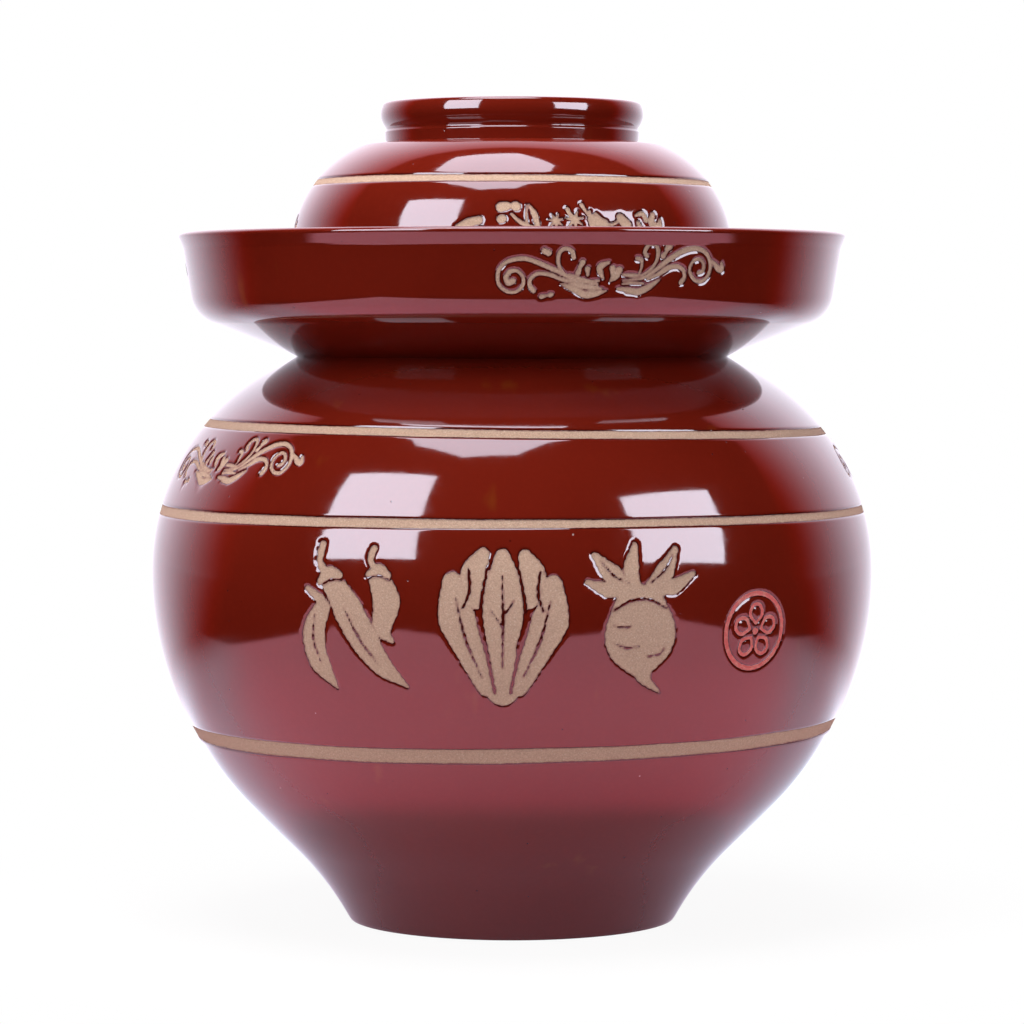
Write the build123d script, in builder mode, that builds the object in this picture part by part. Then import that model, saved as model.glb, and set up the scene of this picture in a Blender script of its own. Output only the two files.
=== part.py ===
from build123d import *
from math import atan2, degrees, hypot, sqrt
import os

# A water seal pickle jar in glazed stoneware: a round jar whose neck rises out of a water moat, a small
# inner lid that covers the mouth, and a bowl turned over as the lid, whose rim stands in the moat.
# Millimetres, +Z up. The origin is the middle of the foot, on the surface that the jar stands on.

# Jar, outside: the belly is one arc above its widest circle and one below it, down to the haunch, where
# a straight taper and then a flare lead to the foot. The haunch lies a share of the way from the foot to
# the widest circle, outwards and upwards, and the flare begins a share of the way up to the haunch.
belly_diameter = 241.0
belly_height = 117.0
haunch_out_share = 0.515
haunch_up_share = 0.342
flare_share = 0.61
foot_diameter = 109.0
waist_diameter = 144.0
waist_height = 188.5

# Jar, walls and foot
body_wall = 6.5
floor_thickness = 9.0
floor_corner_radius = 14.0
foot_ring_width = 10.0
foot_recess_depth = 3.0
foot_edge_radius = 1.2

# Neck, which stands in the middle of the moat
neck_bore_diameter = 104.0
neck_wall = 6.5
neck_foot_radius = 4.0
throat_radius = 3.0
mouth_rise = 3.5
mouth_lip_overhang = 2.5
mouth_lip_height = 7.0
mouth_lip_round_share = 0.31

# Moat, measured up from the waist where it sits on the shoulder
moat_floor_rise = 8.5
moat_floor_margin = 2.5
moat_basin_rise = 8.6
moat_depth = 32.5
moat_corner_rise = 13.4
moat_corner_radius = 12.0
moat_basin_radius = 8.0
moat_wall = 5.5
moat_lean = 3.6
moat_gap = 23.6
moat_lip_overhang = 1.3
moat_lip_height = 5.4
moat_lip_round_share = 0.4

# Bowl-shaped lid, measured up from its rim
lid_gap = 13.5
lid_wall = 5.0
lid_rim_radius = 1.6
lid_headroom = 22.5
lid_ceiling_radius = 30.0
lid_top_thickness = 7.5
crown_inset = 11.4
crown_rise = 49.1
crown_bulge_share = 0.097
grip_diameter = 87.4
grip_root_inset = 1.7
grip_root_drop = 12.4
grip_bulge_drop = 4.0
grip_wall = 5.4
grip_recess_depth = 10.0
grip_edge_radius = 2.2
grip_recess_radius = 3.0

# Inner lid, which rests on the mouth under the bowl
inner_lid_overlap = 7.4
inner_lid_thickness = 5.0
inner_lid_edge_radius = 1.5
skirt_clearance = 1.5
skirt_wall = 5.0
skirt_height = 6.0
knob_clearance = 5.5
knob_diameter = 25.0
knob_stem_share = 0.64
knob_head_share = 0.54
knob_edge_share = 0.38
knob_root_share = 0.36

# Bands where the glaze was kept off the clay, each with its width and its place: two are a share of the
# way up from the widest circle to the waist, one is a share of the way down from there to the haunch,
# and the lid's is at its crown
glaze_depth = 0.4
shoulder_band_share = 0.68
shoulder_band_width = 3.2
belly_band_share = 0.297
belly_band_width = 2.9
haunch_band_share = 0.662
haunch_band_width = 4.4
crown_band_width = 2.4

# Radii and heights that follow from the sizes above
belly_radius = belly_diameter / 2
foot_radius = foot_diameter / 2
haunch_radius = foot_radius + haunch_out_share * (belly_radius - foot_radius)
haunch_height = haunch_up_share * belly_height
waist_radius = waist_diameter / 2
bore_radius = neck_bore_diameter / 2
neck_radius = bore_radius + neck_wall
lid_rim_inner_radius = neck_radius + lid_gap
lid_rim_outer_radius = lid_rim_inner_radius + lid_wall
moat_radius = lid_rim_outer_radius + moat_gap + moat_wall
moat_floor_height = waist_height + moat_floor_rise
moat_rim_height = moat_floor_height + moat_depth
mouth_height = moat_rim_height + mouth_rise
ceiling_height = mouth_height + lid_headroom
lid_top_height = ceiling_height + lid_top_thickness + grip_recess_depth


def upright_arc(widest, end):
    """Centre and radius of the arc that leaves the point widest straight up or down and ends at end."""
    inward = widest[0] - end[0]
    along = end[1] - widest[1]
    radius = (inward**2 + along**2) / (2 * inward)
    return (widest[0] - radius, widest[1]), radius


def reach_at(arc, height):
    """Distance from the axis to the arc at that height."""
    centre, radius = arc
    return centre[0] + sqrt(radius**2 - (height - centre[1]) ** 2)


def height_at(arc, reach):
    """Height of the upper half of the arc at that distance from the axis."""
    centre, radius = arc
    return centre[1] + sqrt(radius**2 - (reach - centre[0]) ** 2)


def facing(arc, point):
    """Direction from the middle of the arc to a point on it, as a pair with length one."""
    across = point[0] - arc[0][0]
    up = point[1] - arc[0][1]
    return across / hypot(across, up), up / hypot(across, up)


def inside(arc, point, wall):
    """The point that lies a wall thickness under a point on the arc."""
    out, up = facing(arc, point)
    return point[0] - wall * out, point[1] - wall * up


def cut_band(arc, height, width):
    """Cut a shallow groove into the sketch, square to the face that follows the arc."""
    reach = reach_at(arc, height)
    out, up = facing(arc, (reach, height))
    with Locations((reach, height)):
        Rectangle(2 * glaze_depth, width, rotation=degrees(atan2(up, out)), mode=Mode.SUBTRACT)


def round_corner(profile, corner, radius):
    """Round the corner of the outline that lies nearest to the point corner."""
    fillet(profile.vertices().sort_by_distance((*corner, 0))[0], radius)


# The arcs of the jar and of the bowl, each as the centre and the radius
shoulder_rise = waist_height - belly_height
haunch_drop = belly_height - haunch_height
belly_top = (belly_radius, belly_height)
haunch = (haunch_radius, haunch_height)
lower_arc = upright_arc(belly_top, haunch)
shoulder_arc = upright_arc(belly_top, (waist_radius, waist_height))
lid_rim = (lid_rim_outer_radius, moat_floor_height)
crown = (lid_rim_outer_radius - crown_inset, moat_floor_height + crown_rise)
dome_arc = upright_arc(lid_rim, crown)

# Points on the taper under the haunch, whose straight side leaves the belly arc without a kink
haunch_out, haunch_up = facing(lower_arc, haunch)
taper_length = haunch_height * (1 - flare_share) / haunch_out
taper_end = (haunch_radius + taper_length * haunch_up, haunch_height - taper_length * haunch_out)
haunch_inside = inside(lower_arc, haunch, body_wall)
taper_run = (haunch_inside[1] - floor_thickness) / haunch_out
floor_corner = (haunch_inside[0] + taper_run * haunch_up, floor_thickness)

# Points on the moat, whose underside is a cone that rises from the waist
neck_middle_radius = bore_radius + neck_wall / 2
underside_slope = moat_corner_rise / (moat_radius - waist_radius)
underside_root_height = waist_height - underside_slope * (waist_radius - neck_middle_radius)
moat_corner = (moat_radius, waist_height + moat_corner_rise)
moat_rim_radius = moat_radius + moat_lean
wall_top_height = moat_rim_height - moat_lip_height / 2
basin_corner = (moat_radius - moat_wall, moat_floor_height + moat_basin_rise)
moat_lip_width = moat_wall + 2 * moat_lip_overhang
neck_top_height = mouth_height - mouth_lip_height / 2
mouth_lip_width = neck_wall + mouth_lip_overhang
throat = (bore_radius, height_at((shoulder_arc[0], shoulder_arc[1] - body_wall), bore_radius))
foot_recess_radius = foot_radius - foot_ring_width

# Jar
with BuildPart() as jar:
    with BuildSketch(Plane.XZ) as wall_profile:
        # The pot as a solid form: foot, taper, haunch, belly, shoulder and neck
        with BuildLine():
            TangentArc(taper_end, (foot_radius, 0), tangent=(haunch_up, -haunch_out))
            Line(haunch, taper_end)
            TangentArc(belly_top, haunch, tangent=(0, -1))
            neck_root = (neck_radius, height_at(shoulder_arc, neck_radius))
            TangentArc(belly_top, neck_root, tangent=(0, 1))
            Polyline(neck_root, (neck_radius, neck_top_height), (0, neck_top_height), (0, 0), (foot_radius, 0))
        make_face()
        # The moat around the neck
        with BuildLine():
            Polyline(
                (neck_middle_radius, underside_root_height),
                moat_corner,
                (moat_rim_radius, wall_top_height),
                (moat_rim_radius - moat_wall, wall_top_height),
                basin_corner,
                (lid_rim_outer_radius + moat_floor_margin, moat_floor_height),
                (neck_middle_radius, moat_floor_height),
                close=True,
            )
        make_face()
        # The rolled lips of the moat and of the mouth
        with Locations((moat_rim_radius - moat_wall / 2, wall_top_height)):
            RectangleRounded(moat_lip_width, moat_lip_height, moat_lip_round_share * moat_lip_height)
        with Locations((bore_radius + mouth_lip_width / 2, neck_top_height)):
            RectangleRounded(mouth_lip_width, mouth_lip_height, mouth_lip_round_share * mouth_lip_height)
        # The hollow, whose wall runs level with the outside, and the recess under the foot
        with BuildLine():
            TangentArc((belly_radius - body_wall, belly_height), haunch_inside, tangent=(0, -1))
            Line(haunch_inside, floor_corner)
            TangentArc((belly_radius - body_wall, belly_height), throat, tangent=(0, 1))
            Polyline(
                throat,
                (bore_radius, mouth_height + mouth_rise),
                (0, mouth_height + mouth_rise),
                (0, floor_thickness),
                floor_corner,
            )
        make_face(mode=Mode.SUBTRACT)
        with Locations((foot_recess_radius / 2, 0)):
            Rectangle(foot_recess_radius, 2 * foot_recess_depth, mode=Mode.SUBTRACT)
        for corner, radius in (
            (floor_corner, floor_corner_radius),
            ((foot_radius, 0), foot_edge_radius),
            ((foot_recess_radius, 0), foot_edge_radius),
            (throat, throat_radius),
            ((neck_radius, moat_floor_height), neck_foot_radius),
            (basin_corner, moat_basin_radius),
            (moat_corner, moat_corner_radius),
        ):
            round_corner(wall_profile, corner, radius)
        cut_band(shoulder_arc, belly_height + shoulder_band_share * shoulder_rise, shoulder_band_width)
        cut_band(shoulder_arc, belly_height + belly_band_share * shoulder_rise, belly_band_width)
        cut_band(lower_arc, belly_height - haunch_band_share * haunch_drop, haunch_band_width)
    revolve(axis=Axis.Z)
jar.part.label = "jar"

# Inner lid: a disc with a skirt that keeps it in the mouth and a knob to lift it by
inner_lid_radius = bore_radius + inner_lid_overlap
disc_top_height = mouth_height + inner_lid_thickness
skirt_radius = bore_radius - skirt_clearance
skirt_foot_height = mouth_height - skirt_height
knob_top_height = ceiling_height - knob_clearance
knob_radius = knob_diameter / 2
stem_radius = knob_stem_share * knob_radius
knob_head_height = knob_head_share * (knob_top_height - disc_top_height)
head_foot_height = knob_top_height - knob_head_height
knob_edge_radius = knob_edge_share * knob_head_height
knob_root_radius = knob_root_share * (head_foot_height - disc_top_height)
with BuildPart() as inner_lid:
    with BuildSketch(Plane.XZ) as disc_profile:
        with BuildLine():
            Polyline(
                (0, mouth_height),
                (skirt_radius - skirt_wall, mouth_height),
                (skirt_radius - skirt_wall, skirt_foot_height),
                (skirt_radius, skirt_foot_height),
                (skirt_radius, mouth_height),
                (inner_lid_radius, mouth_height),
                (inner_lid_radius, disc_top_height),
                (stem_radius, disc_top_height),
                (stem_radius, head_foot_height),
                (knob_radius, head_foot_height),
                (knob_radius, knob_top_height),
                (0, knob_top_height),
                close=True,
            )
        make_face()
        for corner, radius in (
            ((skirt_radius - skirt_wall, skirt_foot_height), inner_lid_edge_radius),
            ((skirt_radius, skirt_foot_height), inner_lid_edge_radius),
            ((inner_lid_radius, mouth_height), inner_lid_edge_radius),
            ((inner_lid_radius, disc_top_height), inner_lid_edge_radius),
            ((stem_radius, disc_top_height), knob_root_radius),
            ((knob_radius, head_foot_height), knob_edge_radius),
            ((knob_radius, knob_top_height), knob_edge_radius),
        ):
            round_corner(disc_profile, corner, radius)
    revolve(axis=Axis.Z)
inner_lid.part.label = "inner_lid"

# Lid: a bowl turned over, with its foot ring on top as the grip
grip_radius = grip_diameter / 2
grip_root = (grip_radius - grip_root_inset, lid_top_height - grip_root_drop)
crown_bulge = crown_bulge_share * hypot(crown[0] - grip_root[0], crown[1] - grip_root[1])
grip_inner_radius = grip_radius - grip_wall
recess_floor_height = ceiling_height + lid_top_thickness
inner_dome_arc = (dome_arc[0], dome_arc[1] - lid_wall)
ceiling_edge = (reach_at(inner_dome_arc, ceiling_height), ceiling_height)
with BuildSketch() as bowl_hollow:
    with BuildLine():
        TangentArc((lid_rim_inner_radius, moat_floor_height), ceiling_edge, tangent=(0, 1))
        Polyline(
            ceiling_edge,
            (0, ceiling_height),
            (0, moat_floor_height),
            (lid_rim_inner_radius, moat_floor_height),
        )
    make_face()
    round_corner(bowl_hollow, ceiling_edge, lid_ceiling_radius)
with BuildPart() as lid:
    with BuildSketch(Plane.XZ) as bowl_profile:
        with BuildLine():
            TangentArc(lid_rim, crown, tangent=(0, 1))
            SagittaArc(crown, grip_root, -crown_bulge)
            Polyline(
                grip_root,
                (grip_radius, lid_top_height - grip_bulge_drop),
                (grip_radius, lid_top_height),
                (grip_inner_radius, lid_top_height),
                (grip_inner_radius, recess_floor_height),
                (0, recess_floor_height),
                (0, moat_floor_height),
                lid_rim,
            )
        make_face()
        add(bowl_hollow.sketch_local, mode=Mode.SUBTRACT)
        for corner, radius in (
            (lid_rim, lid_rim_radius),
            ((lid_rim_inner_radius, moat_floor_height), lid_rim_radius),
            ((grip_inner_radius, recess_floor_height), grip_recess_radius),
            ((grip_inner_radius, lid_top_height), grip_edge_radius),
            ((grip_radius, lid_top_height), grip_edge_radius),
        ):
            round_corner(bowl_profile, corner, radius)
        cut_band(dome_arc, crown[1], crown_band_width)
    revolve(axis=Axis.Z)
lid.part.label = "lid"

os.makedirs("parts", exist_ok=True)
export_step(jar.part, "parts/jar.step")
export_step(inner_lid.part, "parts/inner_lid.step")
export_step(lid.part, "parts/lid.step")
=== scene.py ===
import math

import bpy
import numpy as np
from mathutils import Matrix, Vector


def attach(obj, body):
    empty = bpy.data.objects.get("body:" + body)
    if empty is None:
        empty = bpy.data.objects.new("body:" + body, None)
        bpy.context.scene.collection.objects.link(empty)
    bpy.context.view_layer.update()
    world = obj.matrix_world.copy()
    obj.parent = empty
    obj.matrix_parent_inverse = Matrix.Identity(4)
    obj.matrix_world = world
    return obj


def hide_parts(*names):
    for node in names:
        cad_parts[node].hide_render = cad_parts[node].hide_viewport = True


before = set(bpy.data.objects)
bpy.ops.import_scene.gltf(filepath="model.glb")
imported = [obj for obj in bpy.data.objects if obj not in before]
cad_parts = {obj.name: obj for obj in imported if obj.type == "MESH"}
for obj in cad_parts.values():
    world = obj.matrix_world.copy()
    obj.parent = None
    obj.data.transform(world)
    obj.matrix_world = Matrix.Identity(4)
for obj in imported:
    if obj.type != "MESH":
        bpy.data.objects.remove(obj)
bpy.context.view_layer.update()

# The glazed pieces are turned on the wheel here as fine meshes, so that the bands and the ornament are
# real recesses in the glaze. Sizes are millimetres, as in the part's source, and MM turns them into metres.
MM = 0.001

# Jar, outside
BELLY_RADIUS, BELLY_HEIGHT = 120.5, 117.0
FOOT_RADIUS = 54.5
HAUNCH_OUT_SHARE, HAUNCH_UP_SHARE, FLARE_SHARE = 0.515, 0.342, 0.61
WAIST_RADIUS, WAIST_HEIGHT = 72.0, 188.5

# Jar, inside, foot and neck
BODY_WALL, FLOOR_THICKNESS, FLOOR_ROUND = 6.5, 9.0, 14.0
RECESS_RADIUS, RECESS_DEPTH, FOOT_ROUND = 44.5, 3.0, 1.2
BORE_RADIUS, NECK_WALL, NECK_FOOT_ROUND, THROAT_ROUND = 52.0, 6.5, 4.0, 3.0
MOUTH_RISE, MOUTH_LIP_OUT, MOUTH_LIP_HEIGHT, MOUTH_LIP_ROUND = 3.5, 2.5, 7.0, 2.17

# Moat
FLOOR_RISE, FLOOR_MARGIN, BASIN_RISE, MOAT_DEPTH = 8.5, 2.5, 8.6, 32.5
CORNER_RISE, CORNER_ROUND, BASIN_ROUND = 13.4, 12.0, 8.0
MOAT_WALL, MOAT_LEAN, MOAT_GAP = 5.5, 3.6, 23.6
MOAT_LIP_HEIGHT, MOAT_LIP_FLARE, MOAT_LIP_ROOT, MOAT_LIP_EDGE, SWELL_ROUND = 5.4, 2.2, 6.0, 1.2, 1.0

# Bowl that serves as the lid
LID_GAP, LID_WALL, LID_RIM_ROUND = 13.5, 5.0, 1.6
HEADROOM, CEILING_ROUND, TOP_THICKNESS = 22.5, 30.0, 7.5
TURN_INSET, TURN_RISE, CROWN_INSET, CROWN_RISE, CROWN_ROUND = 4.6, 36.0, 26.2, 62.0, 8.0
CROWN_BAND_RISE = 49.1
GRIP_RADIUS, GRIP_ROOT_INSET, GRIP_ROOT_DROP, GRIP_BEAD_DROP = 43.8, 1.5, 13.5, 8.8
GRIP_NECK_INSET, GRIP_COVE_INSET, GRIP_COVE_DROP, GRIP_COVE_ROUND, GRIP_TOP_INSET = 1.3, 1.9, 9.8, 0.8, 1.0
GRIP_WALL, GRIP_RECESS, GRIP_ROUND, GRIP_RECESS_ROUND, GRIP_BULGE_SHARE = 5.4, 10.0, 2.0, 3.0, 0.17

# Inner lid
OVERLAP, DISC_THICKNESS, DISC_ROUND = 7.4, 5.0, 1.5
SKIRT_CLEARANCE, SKIRT_WALL, SKIRT_HEIGHT = 1.5, 5.0, 6.0
KNOB_CLEARANCE, KNOB_RADIUS, STEM_SHARE = 5.5, 12.5, 0.64
HEAD_SHARE, HEAD_ROUND_SHARE, KNOB_ROOT_SHARE = 0.54, 0.38, 0.36

# Glaze: how deep the bare clay lies under it, how far its edge is rounded over, and how far a vertex
# counts as near clay
GLAZE_DEPTH, GLAZE_EDGE, CLAY_REACH = 0.42, 0.95, 4.0

# Radii and heights that follow
NECK_RADIUS = BORE_RADIUS + NECK_WALL
LID_INNER = NECK_RADIUS + LID_GAP
LID_OUTER = LID_INNER + LID_WALL
MOAT_RADIUS = LID_OUTER + MOAT_GAP + MOAT_WALL
MOAT_FLOOR = WAIST_HEIGHT + FLOOR_RISE
MOAT_RIM = MOAT_FLOOR + MOAT_DEPTH
MOUTH = MOAT_RIM + MOUTH_RISE
CEILING = MOUTH + HEADROOM
LID_TOP = CEILING + TOP_THICKNESS + GRIP_RECESS

# Steps along outlines and strokes, and what counts as no length, no turn and the axis itself
PATH_STEP, STROKE_STEP, NEARLY, NO_TURN, AXIS_NEAR = 0.2, 0.22, 1e-3, 1e-6, 0.05


# Outlines: a path is an array of points (distance from the axis, height), close together

def run_along(path):
    """Distance along a path, from its start to each of its points."""
    return np.concatenate([[0], np.cumsum(np.hypot(*np.diff(path, axis=0).T))])


def straight(start, end):
    """Points on the straight line from start to end."""
    start, end = np.array(start, float), np.array(end, float)
    count = max(3, int(np.hypot(*(end - start)) / PATH_STEP) + 1)
    return start + np.linspace(0, 1, count)[:, None] * (end - start)


def bend(start, end, tangent):
    """Points on the arc that leaves start along tangent and reaches end."""
    start, end = np.array(start, float), np.array(end, float)
    chord = end - start
    beside = tangent[0] * chord[1] - tangent[1] * chord[0]
    turn = math.atan2(beside, tangent[0] * chord[0] + tangent[1] * chord[1])
    if abs(turn) < NO_TURN:
        return straight(start, end)
    radius = np.hypot(*chord) / (2 * math.sin(turn))
    side = np.array([-tangent[1], tangent[0]]) / math.hypot(*tangent)
    centre = start + radius * side
    first = math.atan2(*(start - centre)[::-1])
    count = max(3, int(abs(2 * turn * radius) / PATH_STEP) + 1)
    angle = first + np.linspace(0, 2 * turn, count)
    return centre + abs(radius) * np.stack([np.cos(angle), np.sin(angle)], 1)


def bulged(start, end, share):
    """Points on the arc from start to end that bulges to the right by a share of its chord."""
    chord = np.array(end, float) - np.array(start, float)
    turn = 2 * math.atan(2 * share)
    cos, sin = math.cos(-turn), math.sin(-turn)
    return bend(start, end, (cos * chord[0] - sin * chord[1], sin * chord[0] + cos * chord[1]))


def heading(path, last):
    """Unit direction of a path at its start or its end."""
    step = path[-1] - path[-2] if last else path[1] - path[0]
    return step / np.hypot(*step)


def cut_length(path, length, keep_start):
    """The path without a stretch of the given length at its end, or at its start."""
    run = run_along(path)
    where = run[-1] - length if keep_start else length
    point = np.array([np.interp(where, run, path[:, k]) for k in (0, 1)])
    if keep_start:
        return np.vstack([path[run < where - NEARLY], point])
    return np.vstack([point, path[run > where + NEARLY]])


def rounded(parts):
    """Paths with their corners rounded. A part is a name, a path and the radius of the corner at its end."""
    paths = [path for _, path, _ in parts]
    for index, (_, _, radius) in enumerate(parts[:-1]):
        if not radius:
            continue
        before, after = paths[index], paths[index + 1]
        a, b = heading(before, True), heading(after, False)
        turn = abs(math.atan2(a[0] * b[1] - a[1] * b[0], a @ b))
        trim = radius * math.tan(turn / 2)
        before, after = cut_length(before, trim, True), cut_length(after, trim, False)
        a, b = heading(before, True), heading(after, False)
        handle = 4 / 3 * math.tan(turn / 4) * radius
        t = np.linspace(0, 1, max(5, int(turn * radius / PATH_STEP)))[:, None]
        p0, p3 = before[-1], after[0]
        p1, p2 = p0 + handle * a, p3 - handle * b
        curve = (1 - t) ** 3 * p0 + 3 * (1 - t) ** 2 * t * p1 + 3 * (1 - t) * t**2 * p2 + t**3 * p3
        middle = len(curve) // 2
        paths[index] = np.vstack([before[:-1], curve[: middle + 1]])
        paths[index + 1] = np.vstack([curve[middle:], after[1:]])
    return [(name, path) for (name, _, _), path in zip(parts, paths)]


def upright_arc(widest, end):
    """Centre and radius of the arc that leaves the point widest straight up or down and ends at end."""
    inward, rise = widest[0] - end[0], end[1] - widest[1]
    radius = (inward**2 + rise**2) / (2 * inward)
    return (widest[0] - radius, widest[1]), radius


haunch = (FOOT_RADIUS + HAUNCH_OUT_SHARE * (BELLY_RADIUS - FOOT_RADIUS), HAUNCH_UP_SHARE * BELLY_HEIGHT)
belly_top = (BELLY_RADIUS, BELLY_HEIGHT)
LOWER_CENTRE, LOWER_RADIUS = upright_arc(belly_top, haunch)
SHOULDER_CENTRE, SHOULDER_RADIUS = upright_arc(belly_top, (WAIST_RADIUS, WAIST_HEIGHT))


def jar_paths():
    """The jar's outline, from the middle of its underside, up the outside, and down inside to the axis."""
    out = ((haunch[0] - LOWER_CENTRE[0]) / LOWER_RADIUS, (haunch[1] - LOWER_CENTRE[1]) / LOWER_RADIUS)
    taper = haunch[1] * (1 - FLARE_SHARE) / out[0]
    taper_end = (haunch[0] + taper * out[1], haunch[1] - taper * out[0])
    inner_haunch = (haunch[0] - BODY_WALL * out[0], haunch[1] - BODY_WALL * out[1])
    run = (inner_haunch[1] - FLOOR_THICKNESS) / out[0]
    floor_corner = (inner_haunch[0] + run * out[1], FLOOR_THICKNESS)
    corner = (MOAT_RADIUS, WAIST_HEIGHT + CORNER_RISE)
    rim = MOAT_RADIUS + MOAT_LEAN
    lip_foot = MOAT_RIM - MOAT_LIP_HEIGHT
    basin = (MOAT_RADIUS - MOAT_WALL, MOAT_FLOOR + BASIN_RISE)
    mouth_outer = NECK_RADIUS + MOUTH_LIP_OUT
    mouth_foot = MOUTH - MOUTH_LIP_HEIGHT
    inner_radius = SHOULDER_RADIUS - BODY_WALL
    rise = math.sqrt(inner_radius**2 - (BORE_RADIUS - SHOULDER_CENTRE[0]) ** 2)
    inner_belly = (BELLY_RADIUS - BODY_WALL, BELLY_HEIGHT)
    outline = [
        ("moat", (rim, lip_foot), MOAT_LIP_ROOT),
        ("lip", (rim + MOAT_LIP_FLARE, MOAT_RIM), MOAT_LIP_EDGE),
        ("lip", (rim - MOAT_WALL - MOAT_LIP_FLARE, MOAT_RIM), MOAT_LIP_EDGE),
        ("lip", (rim - MOAT_WALL, lip_foot), MOAT_LIP_ROOT),
        ("basin", basin, BASIN_ROUND),
        ("basin", (LID_OUTER + FLOOR_MARGIN, MOAT_FLOOR), FLOOR_MARGIN),
        ("basin", (NECK_RADIUS, MOAT_FLOOR), NECK_FOOT_ROUND),
        ("neck", (NECK_RADIUS, mouth_foot), SWELL_ROUND),
        ("neck", (mouth_outer, mouth_foot + MOUTH_LIP_OUT), SWELL_ROUND),
        ("neck", (mouth_outer, MOUTH), MOUTH_LIP_ROUND),
        ("neck", (BORE_RADIUS, MOUTH), MOUTH_LIP_ROUND),
        ("bore", (BORE_RADIUS, SHOULDER_CENTRE[1] + rise), THROAT_ROUND),
    ]
    pot = [
        ("base", straight((0, RECESS_DEPTH), (RECESS_RADIUS, RECESS_DEPTH)), 0),
        ("base", straight((RECESS_RADIUS, RECESS_DEPTH), (RECESS_RADIUS, 0)), FOOT_ROUND),
        ("base", straight((RECESS_RADIUS, 0), (FOOT_RADIUS, 0)), FOOT_ROUND),
        ("foot", bend(taper_end, (FOOT_RADIUS, 0), (out[1], -out[0]))[::-1], 0),
        ("foot", straight(taper_end, haunch), 0),
        ("haunch", bend(belly_top, haunch, (0, -1))[::-1], 0),
        ("shoulder", bend(belly_top, (WAIST_RADIUS, WAIST_HEIGHT), (0, 1)), 0),
        ("underside", straight((WAIST_RADIUS, WAIST_HEIGHT), corner), CORNER_ROUND),
    ]
    starts = [corner] + [point for _, point, _ in outline]
    ends = [
        ("inside", bend(inner_belly, starts[-1], (0, 1))[::-1], 0),
        ("inside", bend(inner_belly, inner_haunch, (0, -1)), 0),
        ("inside", straight(inner_haunch, floor_corner), FLOOR_ROUND),
        ("inside", straight(floor_corner, (0, FLOOR_THICKNESS)), 0),
    ]
    middle = [(name, straight(a, b), radius) for a, (name, b, radius) in zip(starts, outline)]
    return rounded(pot + middle + ends)


def lid_paths():
    """The bowl's outline, from the inner edge of its rim, up the outside and down inside."""
    rim, turn_start = (LID_OUTER, MOAT_FLOOR), (LID_OUTER - TURN_INSET, MOAT_FLOOR + TURN_RISE)
    crown = (LID_OUTER - CROWN_INSET, MOAT_FLOOR + CROWN_RISE)
    dome = bend(rim, turn_start, (0, 1))
    dome_centre, dome_radius = upright_arc(rim, turn_start)
    root = (GRIP_RADIUS - GRIP_ROOT_INSET, LID_TOP - GRIP_ROOT_DROP)
    neck = (GRIP_RADIUS - GRIP_NECK_INSET, LID_TOP - GRIP_COVE_DROP)
    bead = (GRIP_RADIUS - GRIP_COVE_INSET, LID_TOP - GRIP_BEAD_DROP)
    top = (GRIP_RADIUS - GRIP_TOP_INSET, LID_TOP)
    inner = GRIP_RADIUS - GRIP_WALL
    recess = CEILING + TOP_THICKNESS
    reach = math.sqrt((dome_radius - LID_WALL) ** 2 - (CEILING - dome_centre[1]) ** 2)
    ceiling_edge = (dome_centre[0] + reach, CEILING)
    return rounded([
        ("rim", straight((LID_INNER, MOAT_FLOOR), rim), LID_RIM_ROUND),
        ("dome", dome, 0),
        ("crown", bend(turn_start, crown, heading(dome, True)), CROWN_ROUND),
        ("grip", straight(crown, root), 0),
        ("grip", straight(root, neck), 0),
        ("grip", straight(neck, bead), GRIP_COVE_ROUND),
        ("grip", bulged(bead, top, GRIP_BULGE_SHARE), GRIP_ROUND),
        ("grip", straight(top, (inner, LID_TOP)), GRIP_ROUND),
        ("grip", straight((inner, LID_TOP), (inner, recess)), GRIP_RECESS_ROUND),
        ("grip", straight((inner, recess), (0, recess)), 0),
    ]), rounded([
        ("under", straight((0, CEILING), ceiling_edge), CEILING_ROUND),
        ("under", bend((LID_INNER, MOAT_FLOOR), ceiling_edge, (0, 1))[::-1], 0),
    ])


def inner_lid_paths():
    """The inner lid's outline, from the middle of its underside, round its edge and up to the knob."""
    top, skirt = MOUTH + DISC_THICKNESS, BORE_RADIUS - SKIRT_CLEARANCE
    skirt_foot, disc = MOUTH - SKIRT_HEIGHT, BORE_RADIUS + OVERLAP
    knob_top, stem = CEILING - KNOB_CLEARANCE, STEM_SHARE * KNOB_RADIUS
    head = HEAD_SHARE * (knob_top - top)
    head_foot = knob_top - head
    head_round, root_round = HEAD_ROUND_SHARE * head, KNOB_ROOT_SHARE * (head_foot - top)
    start = (0, MOUTH)
    outline = [
        ("disc", (skirt - SKIRT_WALL, MOUTH), 0),
        ("disc", (skirt - SKIRT_WALL, skirt_foot), DISC_ROUND),
        ("skirt", (skirt, skirt_foot), DISC_ROUND),
        ("disc", (skirt, MOUTH), 0),
        ("disc", (disc, MOUTH), DISC_ROUND),
        ("disc", (disc, top), DISC_ROUND),
        ("disc", (stem, top), root_round),
        ("knob", (stem, head_foot), 0),
        ("knob", (KNOB_RADIUS, head_foot), head_round),
        ("knob", (KNOB_RADIUS, knob_top), head_round),
        ("knob", (0, knob_top), 0),
    ]
    starts = [start] + [point for _, point, _ in outline]
    return rounded([(name, straight(a, b), radius) for a, (name, b, radius) in zip(starts, outline)])


# Ornament: a stroke is a row of discs along a smooth line, so that its edge is known as a distance

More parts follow.
